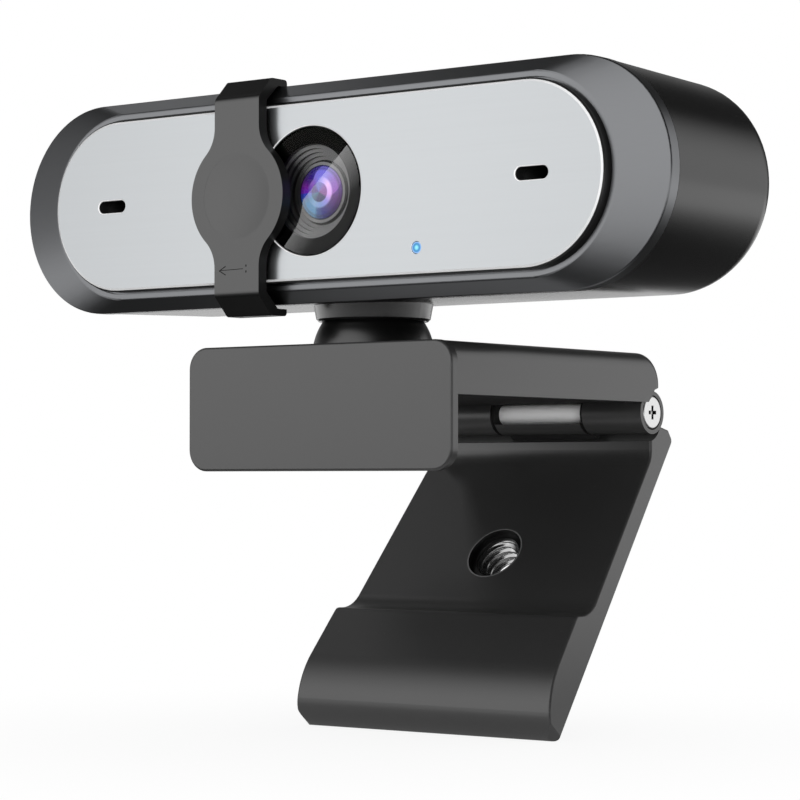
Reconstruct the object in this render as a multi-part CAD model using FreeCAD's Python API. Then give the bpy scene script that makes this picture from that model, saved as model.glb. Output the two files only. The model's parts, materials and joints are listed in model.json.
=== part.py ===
import FreeCAD, Part
import math
import os

# Webcam with a privacy slider and a folding monitor clip.
# Millimetres. X to the viewer's right, Y to the back, Z up.
# The origin lies on the neck's axis, at the height of a monitor's top edge.

V = FreeCAD.Vector
X_AXIS, Y_AXIS, Z_AXIS = V(1, 0, 0), V(0, 1, 0), V(0, 0, 1)

# ---------------------------------------------------------------- driving sizes
# Head
head_width = 110.0
head_height = 29.7
head_depth = 30.5
lens_height = 27.5            # lens axis above the monitor's top edge
face_ahead = 14.0             # front of the face plate, ahead of the neck's axis
rim_back = 1.3                # bezel's inner rim, behind the face plate's front
rim_width = 0.7
rim_round = 0.5               # blends the rim into the slope
edge_round = 0.25             # bezel's outer edge
edge_back = 2.7               # bezel's outer edge
seam_back = 4.6               # joint between bezel and rear shell
seam_gap = 0.15               # shadow line along that joint
shell_wall = 1.8
shell_draft = 0.03            # inset per mm of depth
shell_step = 0.05             # shell lies this far inside the bezel's outline
rear_round = 3.8
skirt_length = 2.4            # bezel's lip inside the rear shell
skirt_wall = 1.2
# Face plate
plate_width = 93.9
plate_height = 24.2
plate_thick = 2.0
plate_bevel = 0.35
hole_bevel = 0.15             # bright edge round the plate's holes
plate_gap = 0.3               # shadow line round the face plate
ledge_width = 1.2
ledge_thick = 1.4
mic_x = 36.0
mic_slot = (5.0, 1.7)
led_x = 17.9
led_drop = 8.5
led_r = 0.75
led_size = (1.6, 0.7, 1.2)
pipe_flange = 0.8
# Lens
window_r = 8.6
window_thick = 0.8
window_sunk = 0.1             # window's front behind the plate's
window_bevel = 0.1
mask_bore_r = 6.3
baffle_steps = 4
baffle_pitch = 0.55
baffle_flange = 1.8           # reach of its flange behind the face plate
baffle_tail = 0.6
barrel_r = 4.1
barrel_front = 2.75           # behind the face plate's front, like the sizes below
barrel_back = 10.6
front_lens_r = 3.7
front_lens_edge = 1.0         # edge thickness; the front bulges beyond it
front_lens_bulge = 0.6
rear_lens_r = 2.9
rear_lens_thick = 1.2
lens_sunk = 0.3               # rear lens inside the barrel's end
lens_shoulder = 0.5
barrel_land = 4.4             # full-width length inside the focus housing
barrel_relief = 0.4
focus_side = 13.0
focus_front = 5.2
filter_side = 7.3
filter_thick = 0.3
filter_gap = 0.5              # behind the barrel
sensor_size = (5.6, 0.9, 4.4)
# Board
board_front = 12.6
board_thick = 1.2
board_width = 92.0
board_height = 20.0
board_screw_x = 38.0
board_screw_z = 6.0
notch_gap = 1.7               # round the neck's stud head
screw_r = 1.0
screw_bite = 7.0              # screw's length behind the board
screw_head_r = 1.9
screw_head = 1.1
pillar_r = 2.4
mic_r = 3.0
mic_deep = 2.5
plug_size = (8.0, 4.5, 4.8)   # socket of the internal lead
plug_up = 3.0                 # above the lens axis
plug_wall = 0.8
# Lead's grommet in the rear wall
grommet_r = 4.3
grommet_neck_r = 3.2
grommet_bore_r = 1.9
grommet_out = 2.6
grommet_in = 1.2
# Neck
ball_r = 8.4
ball_height = 5.9             # ball's centre above the monitor's top edge
ball_wall = 1.8
ball_gap = 0.2
collar_r = 8.3
collar_foot_r = 7.85
collar_bottom = 10.6
collar_round = 0.3
collar_in = 1.2               # collar's rim reaches this far into the head's underside
boss_r = 5.5
floor_pad = 1.0               # thickening of the shell's floor under the screw heads
pad_rim = 1.0                 # that pad's margin round the collar
boss_wall = 1.5
stud_r = 1.5
stud_head_r = 2.8
stud_head = 1.8
collar_screw_r = 0.6
collar_screw_head_r = 1.2
collar_screw_reach = 6.9
collar_screw_depth = 2.9
dish_thick = 1.7
spring_thick = 0.8
nut_flats = 5.5
nut_thick = 2.4
tilt_up = 22.0
tilt_down = 12.0
swivel_disc = 1.4
swivel_pin_r = 1.5
swivel_head_r = 2.6
swivel_head = 0.7
# Clip arm
arm_width = 42.1
arm_thick = 7.15
arm_edge_round = 2.0
arm_tip = 1.9                 # arm's end, behind the hinge axis
arm_tip_drop = 0.8            # its lower edge above the knuckles
arm_floor = 3.4               # floor of the ball's well
wall_drop = 0.1               # side walls stop this far above the pad's face
pad_thick = 1.0
pad_margin = 1.7
core_top_wall = 1.8
core_rib = 1.6
lip_reach = 8.75              # lip's pad face, ahead of the neck's axis
lip_pad_thick = 1.0
lip_wall = 1.5
badge_width = 45.2            # clip's bare front plate
badge_height = 17.05
badge_thick = 1.4
badge_corner = 3.0
# Hinge
hinge_back = 39.2
hinge_drop = 1.36
knuckle_r = 3.1
knuckle_span = 40.6
knuckle_inner = 16.3          # gap between the arm's two knuckles
knuckle_shift = 2.0           # that gap's middle, to the viewer's right
pin_r = 1.5
pin_end_wall = 1.3            # closes the left knuckle
hinge_screw_head_r = 2.4
hinge_screw_head = 0.65
hinge_screw_sunk = 0.6        # head's bearing face inside the knuckle's end
hinge_screw_r = 0.8
hinge_screw_length = 5.0
cross_reach = 1.0             # screw's cross slot
cross_half = 0.27
cross_depth = 0.8
washer_thick = 0.5
# Leg
leg_lean = 39.5               # forward of straight down
leg_face = 4.7                # leg's front face, behind the hinge axis
leg_thick = 3.45
leg_length = 52.1
leg_top_width = 38.8
leg_foot_width = 44.4
leg_corner = 1.6
leg_over = -3.0               # the leg's outline starts above the hinge axis
leg_edge_round = 0.35
leg_end_round = 0.6           # along the leg's lower rear edge
ridge_start = 1.4             # cross ridge under the hinge, ahead of the leg's face
ridge_proud = 2.3
ridge_end = 4.6
ridge_round = 4.0             # blends the ridge into the face
foot_proud = 2.8
foot_start = 35.2
foot_edge_round = 1.0
step_run = 2.2                # slope from the leg's face up to the foot
step_round = 5.0
sole_run = 5.0                # the foot's end slopes back over this length
sole_drop = 3.2
sole_front_round = 12.0
sole_back_round = 4.3
web_half = 1.6                # web from the turning knuckle to the leg
web_top = 1.2
groove_r = 4.2
jaw_past = 0.2                # the open jaw reaches past the pin's axis
insert_along = 22.4
insert_r = 4.6
thread_r = 3.175              # 1/4 inch tripod thread
insert_recess_r = 4.2
insert_recess = 0.9
insert_lip = 0.5
insert_boss_r = 6.4
insert_boss = 2.6
# Privacy cover
cover_x = -11.0
cover_strap = 7.85
cover_disc_r = 8.1
cover_thick = 1.65
cover_gap = 0.4
cover_fillet = 5.0
cover_dimple_r = 5.85
cover_dimple = 0.25
hook_thick = 0.95
hook_reach = 3.9
hook_gap = 0.3
cover_drop = 0.24             # the cover hangs from its upper hook

# Running clearances
fit = 0.1                     # parts that drop into each other
turn = 0.06                   # radial, pin in its bore
slide = 0.3                   # moving faces

# ------------------------------------------------------------------ shared sums
face_y = -face_ahead
hinge_y, hinge_z = hinge_back, -hinge_drop
board_back = board_front + board_thick
arm_front = -lip_reach - lip_pad_thick - lip_wall
well_r = ball_r + slide
boss_top = ball_height + ball_r + ball_gap + boss_wall
nut_top = ball_height + ball_r - ball_wall - ball_gap - dish_thick - spring_thick
skirt_back = seam_back + skirt_length
insert_seat = -leg_face - insert_recess - insert_lip
gap_left = knuckle_shift - knuckle_inner / 2
gap_right = knuckle_shift + knuckle_inner / 2
screw_seat = knuckle_span / 2 - hinge_screw_sunk


def deep(depth):
    """Y of a plane this far behind the face plate's front."""
    return face_y + depth


# ---------------------------------------------------------------- shape helpers
def stadium(width, height, y, z=lens_height, x=0.0):
    """Closed outline of two half circles and two straights, facing Y."""
    r = height / 2.0
    a = width / 2.0 - r
    right = Part.Arc(V(x + a, y, z - r), V(x + a + r, y, z), V(x + a, y, z + r)).toShape()
    left = Part.Arc(V(x - a, y, z + r), V(x - a - r, y, z), V(x - a, y, z - r)).toShape()
    top = Part.makeLine(V(x + a, y, z + r), V(x - a, y, z + r))
    bottom = Part.makeLine(V(x - a, y, z - r), V(x + a, y, z - r))
    return Part.Wire([right, top, left, bottom])


def stadium_prism(width, height, y_front, y_back, z=lens_height, x=0.0):
    return Part.Face(stadium(width, height, y_front, z, x)).extrude(V(0, y_back - y_front, 0))


def rounded_outline(corners, place):
    """Closed wire through (u, v, radius) corners, each rounded by its own arc."""
    n = len(corners)
    starts, ends, arcs = [], [], []
    for i, (u, v, r) in enumerate(corners):
        here = V(u, v, 0)
        before = V(*corners[i - 1][:2], 0) - here
        after = V(*corners[(i + 1) % n][:2], 0) - here
        before.normalize()
        after.normalize()
        if r <= 0:
            starts.append(here)
            ends.append(here)
            arcs.append(None)
            continue
        half = before.getAngle(after) / 2.0
        reach = r / math.tan(half)
        middle = before + after
        middle.normalize()
        centre = here + middle * (r / math.sin(half))
        starts.append(here + before * reach)
        ends.append(here + after * reach)
        arcs.append(centre - middle * r)
    edges = []
    for i in range(n):
        if arcs[i] is not None:
            points = [place(p.x, p.y) for p in (starts[i], arcs[i], ends[i])]
            edges.append(Part.Arc(*points).toShape())
        nxt = starts[(i + 1) % n]
        if ends[i].distanceToPoint(nxt) > 1e-6:
            edges.append(Part.makeLine(place(ends[i].x, ends[i].y), place(nxt.x, nxt.y)))
    return Part.Wire(Part.__sortEdges__(edges))


def slab(wire, direction):
    return Part.Face(wire).extrude(direction)


def side_slab(corners, width, x=0.0):
    """Prism along X from a (y, z, radius) side view, centred on x."""
    wire = rounded_outline(corners, lambda y, z: V(x - width / 2.0, y, z))
    return slab(wire, V(width, 0, 0))


def front_slab(corners, y_front, y_back):
    """Prism along Y from an (x, z, radius) front view."""
    wire = rounded_outline(corners, lambda x, z: V(x, y_front, z))
    return slab(wire, V(0, y_back - y_front, 0))


def rectangle(u0, u1, v0, v1, r):
    return [(u0, v0, r), (u1, v0, r), (u1, v1, r), (u0, v1, r)]


def rod(radius, start, end, x=0.0, z=lens_height):
    """Cylinder along Y between two depths behind the face plate's front."""
    return Part.makeCylinder(radius, end - start, V(x, deep(start), z), Y_AXIS)


def post(radius, bottom, top, x=0.0, y=0.0):
    return Part.makeCylinder(radius, top - bottom, V(x, y, bottom), Z_AXIS)


def axle(radius, x_start, x_end):
    """Cylinder on the hinge axis."""
    return Part.makeCylinder(radius, x_end - x_start, V(x_start, hinge_y, hinge_z), X_AXIS)


def box(x0, x1, y0, y1, z0, z1):
    return Part.makeBox(x1 - x0, y1 - y0, z1 - z0, V(x0, y0, z0))


def turned(points, place, base, axis):
    """Solid of revolution from a closed (radius, along) outline."""
    wire = Part.makePolygon([place(r, a) for r, a in points + points[:1]])
    return Part.Face(wire).revolve(base, axis, 360)


def lens_turned(points):
    """Turned on the lens axis; points are (radius, depth)."""
    return turned(points, lambda r, d: V(r, deep(d), lens_height), V(0, 0, lens_height), Y_AXIS)


def neck_turned(points):
    """Turned on the neck's axis; points are (radius, z)."""
    return turned(points, lambda r, z: V(r, 0, z), V(0, 0, 0), Z_AXIS)


def edges_at(shape, test):
    """Edges whose every vertex passes the test."""
    return [e for e in shape.Edges if all(test(v.Point) for v in e.Vertexes)]


def middle_of(edge):
    return edge.valueAt((edge.FirstParameter + edge.LastParameter) / 2)


def near(a, b):
    return abs(a - b) < 1e-4


def mirrored(shape):
    return shape.mirror(V(0, 0, 0), X_AXIS)


# ------------------------------------------------------------------ head casing
def shell_form(inset, depth_from, depth_to, rounding):
    """Drafted stadium body with a rounded rear edge."""
    def inset_at(depth):
        return inset + shell_step + shell_draft * (depth - seam_back)
    wires = []
    for depth in (depth_from, depth_to):
        cut = 2 * inset_at(depth)
        wires.append(stadium(head_width - cut, head_height - cut, deep(depth)))
    body = Part.makeLoft(wires, True, True)
    rear = edges_at(body, lambda p: near(p.y, deep(depth_to)))
    return body.makeFillet(rounding, rear)


def make_rear_shell():
    outer = shell_form(0.0, seam_back + seam_gap, head_depth, rear_round)
    inner = shell_form(shell_wall, seam_back - 1.0, head_depth - shell_wall,
                       rear_round - shell_wall)
    shell = outer.cut(inner)
    # four pillars carry the board
    for x in (-board_screw_x, board_screw_x):
        for z in (lens_height - board_screw_z, lens_height + board_screw_z):
            pillar = rod(pillar_r, board_back, head_depth - shell_wall / 2, x, z)
            bore = rod(screw_r, board_front, head_depth - 2 * shell_wall - 1.0, x, z)
            shell = shell.fuse(pillar).cut(bore)
    # flat pad inside, where the neck's screws bear
    pad = post(collar_r + pad_rim, collar_bottom, pad_top()).common(outer)
    ahead = box(-head_width, head_width, deep(0), deep(skirt_back) + fit, 0, lens_height)
    shell = shell.fuse(pad.cut(ahead))
    shell = shell.cut(post(boss_r + fit, 0, lens_height))
    for x in (-collar_screw_reach, collar_screw_reach):
        shell = shell.cut(post(collar_screw_r, collar_bottom, lens_height, x))
    # hole for the lead's grommet
    shell = shell.cut(rod(grommet_neck_r, board_back, head_depth + 1.0))
    return shell.removeSplitter()


def pad_top():
    """Top of the flat pad inside the shell's floor."""
    return lens_height - head_height / 2 + shell_wall + floor_pad


def make_front_bezel():
    rim_w = plate_width + 2 * (plate_gap + rim_width)
    rim_h = plate_height + 2 * (plate_gap + rim_width)
    slope = Part.makeLoft([stadium(rim_w, rim_h, deep(rim_back)),
                           stadium(head_width, head_height, deep(edge_back))], True, True)
    band = stadium_prism(head_width, head_height, deep(edge_back), deep(seam_back))
    body = slope.fuse(band).removeSplitter()
    body = body.makeFillet(edge_round, edges_at(body, lambda p: near(p.y, deep(edge_back))))
    body = body.makeFillet(rim_round, edges_at(body, lambda p: near(p.y, deep(rim_back))))
    skirt_cut = 2 * (shell_wall + shell_step + fit + shell_draft * skirt_length)
    skirt_w, skirt_h = head_width - skirt_cut, head_height - skirt_cut
    skirt = stadium_prism(skirt_w, skirt_h, deep(seam_back), deep(skirt_back))
    bezel = body.fuse(skirt)
    pocket = stadium_prism(plate_width + 2 * plate_gap, plate_height + 2 * plate_gap,
                           deep(-1.0), deep(plate_thick))
    opening = stadium_prism(plate_width - 2 * ledge_width, plate_height - 2 * ledge_width,
                            deep(-1.0), deep(skirt_back + 1.0))
    hollow = stadium_prism(skirt_w - 2 * skirt_wall, skirt_h - 2 * skirt_wall,
                           deep(plate_thick + ledge_thick), deep(skirt_back + 1.0))
    return bezel.cut(pocket).cut(opening).cut(hollow).removeSplitter()


def make_face_plate():
    plate = stadium_prism(plate_width, plate_height, deep(0), deep(plate_thick))
    plate = plate.makeChamfer(plate_bevel, edges_at(plate, lambda p: near(p.y, deep(0))))
    plate = plate.cut(rod(window_r + fit, -1.0, plate_thick + 1.0))
    for x in (-mic_x, mic_x):
        slot = stadium_prism(mic_slot[0], mic_slot[1], deep(-1.0), deep(plate_thick + 1.0), x=x)
        plate = plate.cut(slot)
    hole = rod(led_r + fit, -1.0, plate_thick + 1.0, led_x, lens_height - led_drop)
    plate = plate.cut(hole)
    inside = plate_width / 2 - 1.0
    rims = [e for e in edges_at(plate, lambda p: near(p.y, deep(0)) and abs(p.x) < inside)
            if abs(middle_of(e).z - lens_height) < window_r + 2 * fit]
    return plate.makeChamfer(hole_bevel, rims)


# ------------------------------------------------------------------------ optics
def make_lens_window():
    window = rod(window_r, window_sunk, window_sunk + window_thick)
    front = edges_at(window, lambda p: near(p.y, deep(window_sunk)))
    return window.makeChamfer(window_bevel, front)


def make_lens_baffle():
    """Black ring behind the window, stepping down towards the lens like stairs."""
    front = window_sunk + window_thick
    flange_front = plate_thick
    flange_back = front + baffle_steps * baffle_pitch + baffle_tail
    flange_r = window_r + baffle_flange
    points = [(window_r, front), (window_r, flange_front), (flange_r, flange_front),
              (flange_r, flange_back)]
    inner = []
    r, depth = mask_bore_r, front
    for _ in range(baffle_steps):
        inner.append((r, depth))
        depth += baffle_pitch
        inner.append((r, depth))
        r -= (mask_bore_r - barrel_r - slide) / baffle_steps
    inner.append((r, depth))
    inner.append((r, flange_back))
    return lens_turned(points + inner[::-1])


def make_lens_barrel():
    rear_seat = barrel_back - rear_lens_thick - lens_sunk
    waist = focus_front + barrel_land
    waist_r = barrel_r - barrel_relief
    seat = front_lens_seat()
    points = [(front_lens_r, barrel_front), (barrel_r, barrel_front), (barrel_r, waist),
              (waist_r, waist), (waist_r, barrel_back),
              (rear_lens_r, barrel_back), (rear_lens_r, rear_seat),
              (rear_lens_r - lens_shoulder, rear_seat), (front_lens_r - 2 * lens_shoulder, seat),
              (front_lens_r, seat)]
    return lens_turned(points)


def domed_disc(radius, front, back, bulge):
    """Lens with a spherical front standing out by the bulge."""
    disc = rod(radius, front, back)
    if bulge <= 0:
        return disc
    sphere_r = (radius * radius + bulge * bulge) / (2 * bulge)
    ball = Part.makeSphere(sphere_r, V(0, deep(front - bulge) + sphere_r, lens_height))
    cap = ball.common(rod(radius, front - bulge - 0.1, front))
    return disc.fuse(cap).removeSplitter()


def front_lens_seat():
    return barrel_front + front_lens_edge


def make_front_lens():
    return domed_disc(front_lens_r, barrel_front + fit, front_lens_seat(), front_lens_bulge)


def make_rear_lens():
    back = barrel_back - lens_sunk
    return rod(rear_lens_r, back - rear_lens_thick, back)


def make_focus_housing():
    """Square actuator housing; the barrel floats in its bore."""
    h = focus_side / 2
    end = board_front
    outline = rectangle(-h, h, lens_height - h, lens_height + h, 1.2)
    housing = front_slab(outline, deep(focus_front), deep(end))
    cavity_front = filter_front()
    f = filter_side / 2 + fit
    cavity = box(-f, f, deep(cavity_front), deep(end + 1), lens_height - f, lens_height + f)
    housing = housing.cut(rod(barrel_r + slide, focus_front - 1.0, end))
    return housing.cut(cavity)


def filter_front():
    """The filter stays clear of the barrel at the back of its travel."""
    return barrel_back + filter_gap


def make_ir_filter():
    f = filter_side / 2
    front = filter_front()
    return box(-f, f, deep(front), deep(front + filter_thick), lens_height - f, lens_height + f)


def make_image_sensor():
    w, d, h = (sensor_size[0] / 2, sensor_size[1], sensor_size[2] / 2)
    return box(-w, w, deep(board_front - d), deep(board_front), lens_height - h, lens_height + h)


# ------------------------------------------------------------- board and sensors
def make_main_board():
    board = stadium_prism(board_width, board_height, deep(board_front), deep(board_back))
    # notch over the neck's stud
    notch_top = boss_top + stud_head + notch_gap / 2
    notch_half = stud_head_r + notch_gap
    notch = front_slab(rectangle(-notch_half, notch_half, 0, notch_top, 1.0),
                       deep(board_front - 1), deep(board_back + 1))
    board = board.cut(notch)
    for x in (-board_screw_x, board_screw_x):
        for z in (lens_height - board_screw_z, lens_height + board_screw_z):
            board = board.cut(rod(screw_r + fit, board_front - 1, board_back + 1, x, z))
    return board


def make_board_screws():
    screws = []
    for x in (-board_screw_x, board_screw_x):
        for z in (lens_height - board_screw_z, lens_height + board_screw_z):
            head = rod(screw_head_r, board_front - screw_head, board_front, x, z)
            shank = rod(screw_r, board_front, board_back + screw_bite, x, z)
            screws.append(head.fuse(shank).removeSplitter())
    return Part.makeCompound(screws)


def make_mic(x):
    return rod(mic_r, board_front - mic_deep, board_front, x)


def make_mic_gasket(x):
    """Rubber tube that carries sound from the slot to the capsule."""
    end = board_front - mic_deep
    tube = rod(mic_r + 0.5, plate_thick, end, x)
    bore = stadium_prism(mic_slot[0] + 2 * fit, mic_slot[1] + 2 * fit, deep(plate_thick - 1),
                         deep(end + 1), x=x)
    return tube.cut(bore)


def make_status_led():
    z = lens_height - led_drop
    w, d, h = led_size[0] / 2, led_size[1], led_size[2] / 2
    return box(led_x - w, led_x + w, deep(board_front - d), deep(board_front), z - h, z + h)


def make_light_pipe():
    """Clear rod from the LED to the face, with a flange behind the face plate."""
    z = lens_height - led_drop
    pipe = rod(led_r, window_sunk, board_front - led_size[1] - fit, led_x, z)
    flange = rod(2 * led_r, plate_thick, plate_thick + pipe_flange, led_x, z)
    return pipe.fuse(flange).removeSplitter()


def make_cable_socket():
    w, d, h = plug_size[0] / 2, plug_size[1], plug_size[2] / 2
    z = lens_height + plug_up
    wall = plug_wall
    body = box(-w, w, deep(board_back), deep(board_back + d), z - h, z + h)
    mouth = box(-w + wall, w - wall, deep(board_back + wall), deep(board_back + d + 1),
                z - h + wall, z + h - wall)
    return body.cut(mouth)


def make_cable_grommet():
    """Rubber bush in the rear wall; a groove grips the wall's edge."""
    inside = head_depth - shell_wall
    outside = head_depth
    end = outside + grommet_out
    points = [(grommet_bore_r, inside - grommet_in), (grommet_r, inside - grommet_in),
              (grommet_r, inside), (grommet_neck_r, inside), (grommet_neck_r, outside),
              (grommet_r, outside), (grommet_r, outside + 0.9), (grommet_r - 1.0, end),
              (grommet_bore_r, end)]
    return lens_turned(points)


# -------------------------------------------------------------------------- neck
def make_neck_collar():
    """Collar under the head, hollowed to ride on the ball, with a boss into the head."""
    top = lens_height
    slope = (collar_r - collar_foot_r) / 2.4
    outer = [(0, collar_bottom), (collar_foot_r - collar_round, collar_bottom),
             (collar_foot_r, collar_bottom + collar_round),
             (collar_foot_r + slope * 2.0, collar_bottom + 2.0 + collar_round),
             (collar_foot_r + slope * 2.0, top), (0, top)]
    flange = neck_turned(outer).cut(shell_form(0.0, seam_back, head_depth, rear_round))
    trim = lens_height - head_height / 2 + collar_in
    wide = 2 * collar_r
    flange = flange.cut(box(-wide, wide, -wide, wide, trim, top + wide))
    boss = post(boss_r, collar_bottom + 1.0, boss_top)
    collar = flange.fuse(boss)
    collar = collar.cut(Part.makeSphere(ball_r + ball_gap, V(0, 0, ball_height)))
    collar = collar.cut(post(stud_r, 0, boss_top + 1))
    for x in (-collar_screw_reach, collar_screw_reach):
        tip = pad_top() - collar_screw_depth
        collar = collar.cut(post(collar_screw_r, tip, boss_top, x))
    return collar.removeSplitter()


def make_collar_screws():
    screws = []
    for x in (-collar_screw_reach, collar_screw_reach):
        shank = post(collar_screw_r, pad_top() - collar_screw_depth, pad_top(), x)
        head = post(collar_screw_head_r, pad_top(), pad_top() + 0.9, x)
        screws.append(shank.fuse(head).removeSplitter())
    return Part.makeCompound(screws)


def make_tilt_stud():
    shank = post(stud_r, nut_top - nut_thick - 0.2, boss_top)
    head = post(stud_head_r, boss_top, boss_top + stud_head)
    head = head.makeFillet(0.6, edges_at(head, lambda p: near(p.z, boss_top + stud_head)))
    return shank.fuse(head).removeSplitter()


def make_tilt_dish():
    """Inner friction dish: a slice of a ball with a flat for the spring."""
    inner_r = ball_r - ball_wall - ball_gap
    flat = ball_height + inner_r - dish_thick
    cap = Part.makeSphere(inner_r, V(0, 0, ball_height)).common(post(inner_r, flat, flat + inner_r))
    return cap.cut(post(stud_r, 0, lens_height))


def make_tilt_spring():
    """Disc spring, coned."""
    top = nut_top + spring_thick
    skin = 0.4
    points = [(stud_r, nut_top), (stud_r + 0.5, nut_top), (stud_r + 1.6, top - skin),
              (stud_r + 1.6, top), (stud_r + 1.0, top), (stud_r, nut_top + skin)]
    return neck_turned(points)


def make_tilt_nut():
    corner = nut_flats / math.sqrt(3)
    ring = [V(corner * math.cos(math.radians(60 * i)), corner * math.sin(math.radians(60 * i)),
              nut_top - nut_thick) for i in range(7)]
    nut = Part.Face(Part.makePolygon(ring)).extrude(V(0, 0, nut_thick))
    return nut.cut(post(stud_r, 0, lens_height))


def make_swivel_ball():
    """Hollow ball on a skirt; a slot in its crown lets the stud lean."""
    skirt_bottom = arm_floor + ball_gap
    centre = V(0, 0, ball_height)
    ball = Part.makeSphere(ball_r, centre).common(post(ball_r, ball_height, lens_height))
    ball = ball.fuse(post(ball_r, skirt_bottom, ball_height))
    hollow = Part.makeSphere(ball_r - ball_wall, centre)
    hollow = hollow.common(post(ball_r, ball_height, lens_height))
    hollow = hollow.fuse(post(ball_r - ball_wall, 0, ball_height))
    ball = ball.cut(hollow)
    half = stud_r + slide
    back = ball_r * math.sin(math.radians(tilt_up)) + half
    front = ball_r * math.sin(math.radians(tilt_down)) + half
    outline = rounded_outline(rectangle(-half, half, -front, back, half * 0.98),
                              lambda x, y: V(x, y, ball_height + 2))
    return ball.cut(slab(outline, V(0, 0, ball_r))).removeSplitter()


def make_swivel_disc():
    bottom = arm_floor + ball_gap
    disc = post(ball_r - ball_wall, bottom, bottom + swivel_disc)
    return disc.cut(post(swivel_pin_r, 0, lens_height))


def make_swivel_pin():
    """Headed pin from below; the head turns in a recess over the pad."""
    head_bottom = pad_thick + fit
    shank = post(swivel_pin_r, head_bottom + swivel_head, arm_floor + ball_gap + swivel_disc)
    head = post(swivel_head_r, head_bottom, head_bottom + swivel_head)
    return head.fuse(shank).removeSplitter()


# -------------------------------------------------------------------------- clip
def make_clip_arm():
    """Arm over the monitor, its front wall and the two fixed knuckles."""
    tip_y = hinge_y + arm_tip
    tip_z = hinge_z + knuckle_r + arm_tip_drop
    side = [(arm_front, arm_thick, 0), (arm_front, -lip_reach + 1.0, 0.6),
            (-lip_reach - lip_pad_thick, -lip_reach + 1.0, 0.6),
            (-lip_reach - lip_pad_thick, wall_drop, 0),
            (hinge_y - 1.8, wall_drop, 0), (hinge_y - 0.45, hinge_z + knuckle_r + 0.15, 0),
            (tip_y, tip_z, 0), (tip_y, arm_thick, arm_thick - tip_z - 0.05)]
    arm = side_slab(side, arm_width)
    half = arm_width / 2
    low = hinge_z + knuckle_r + 0.5
    top_edges = [e for x in (-half, half)
                 for e in edges_at(arm, lambda p: near(p.x, x) and p.z > low)]
    arm = arm.makeFillet(arm_edge_round, top_edges)
    # fixed knuckles
    arm = arm.fuse(axle(knuckle_r, -knuckle_span / 2, gap_left))
    arm = arm.fuse(axle(knuckle_r, gap_right, knuckle_span / 2))
    arm = arm.cut(axle(knuckle_r + slide, gap_left, gap_right))
    # bore for the pin, open at the screw's end
    arm = arm.cut(axle(pin_r, -knuckle_span / 2 + pin_end_wall, knuckle_span / 2))
    arm = arm.cut(axle(hinge_screw_head_r + fit, screw_seat, arm_width))
    # the ball's well and the swivel pin's hole
    arm = arm.cut(post(well_r, arm_floor, arm_thick + 1))
    arm = arm.cut(post(swivel_pin_r + turn, 0, arm_floor + 1))
    arm = arm.cut(post(swivel_head_r + slide, 0, pad_thick + swivel_head + 2 * fit))
    # recess for the pad, and the pockets that it closes
    x_pad = half - pad_margin
    arm = arm.cut(box(-x_pad, x_pad, pad_front(), pad_back(), -1, pad_thick))
    return arm.cut(core_pockets()).removeSplitter()


def pad_front():
    return -lip_reach - lip_pad_thick + pad_margin


def pad_back():
    return hinge_y - knuckle_r - pad_margin


def core_pockets():
    """Moulding pockets behind the ball's well, between ribs."""
    y0, y1 = well_r + core_rib, pad_back() - core_rib
    x0, x1 = core_rib / 2, arm_width / 2 - pad_margin - core_rib
    rows = 3
    pitch = (y1 - y0 + core_rib) / rows
    pockets = []
    for row in range(rows):
        ya = y0 + row * pitch
        pocket = box(x0, x1, ya, ya + pitch - core_rib, pad_thick - 0.5, arm_thick - core_top_wall)
        pockets += [pocket, mirrored(pocket)]
    return Part.makeCompound(pockets)


def make_clip_front_plate():
    outline = rectangle(-badge_width / 2, badge_width / 2, arm_thick - badge_height, arm_thick,
                        badge_corner)
    plate = front_slab(outline, arm_front - badge_thick, arm_front)
    front = edges_at(plate, lambda p: near(p.y, arm_front - badge_thick))
    return plate.makeFillet(0.35, front)


def make_top_pad():
    x_pad = arm_width / 2 - pad_margin - fit
    plan = rectangle(-x_pad, x_pad, pad_front() + fit, pad_back() - fit, 1.0)
    return slab(rounded_outline(plan, lambda x, y: V(x, y, 0)), V(0, 0, pad_thick))


def make_lip_pad():
    x_pad = arm_width / 2 - pad_margin
    outline = rectangle(-x_pad, x_pad, -lip_reach + 1.8, -0.8, 1.0)
    return front_slab(outline, -lip_reach - lip_pad_thick, -lip_reach)


# ------------------------------------------------------------------------- hinge
def make_hinge_pin():
    pin = axle(pin_r, -knuckle_span / 2 + pin_end_wall, screw_seat)
    return pin.cut(axle(hinge_screw_r, screw_seat - hinge_screw_length, screw_seat))


def make_hinge_screw():
    """Cross-head screw that holds the pin at the right end."""
    x = screw_seat
    head = axle(hinge_screw_head_r, x, x + hinge_screw_head)
    head = head.makeFillet(0.3, edges_at(head, lambda p: near(p.x, x + hinge_screw_head)))
    shank = axle(hinge_screw_r, x - hinge_screw_length, x)
    screw = head.fuse(shank)
    floor = x + hinge_screw_head - cross_depth
    for dy, dz in ((cross_reach, cross_half), (cross_half, cross_reach)):
        screw = screw.cut(box(floor, x + 2, hinge_y - dy, hinge_y + dy, hinge_z - dz, hinge_z + dz))
    return screw.removeSplitter()


def make_hinge_washers():
    washers = []
    for x in (gap_left, gap_right - washer_thick):
        washers.append(axle(knuckle_r - 0.3, x, x + washer_thick).cut(axle(pin_r, x - 1, x + 2)))
    return Part.makeCompound(washers)


# --------------------------------------------------------------------------- leg
def leg_point(x, along, out):
    """Along the leg from the hinge axis; out is ahead of the axis, square to the leg."""
    lean = math.radians(leg_lean)
    y = hinge_y - along * math.sin(lean) - out * math.cos(lean)
    z = hinge_z - along * math.cos(lean) + out * math.sin(lean)
    return V(x, y, z)


def leg_post(radius, along, out_from, out_to):
    """Cylinder square to the leg's face."""
    start = leg_point(0, along, out_from)
    end = leg_point(0, along, out_to)
    return Part.makeCylinder(radius, out_to - out_from, start, end - start)


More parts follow.
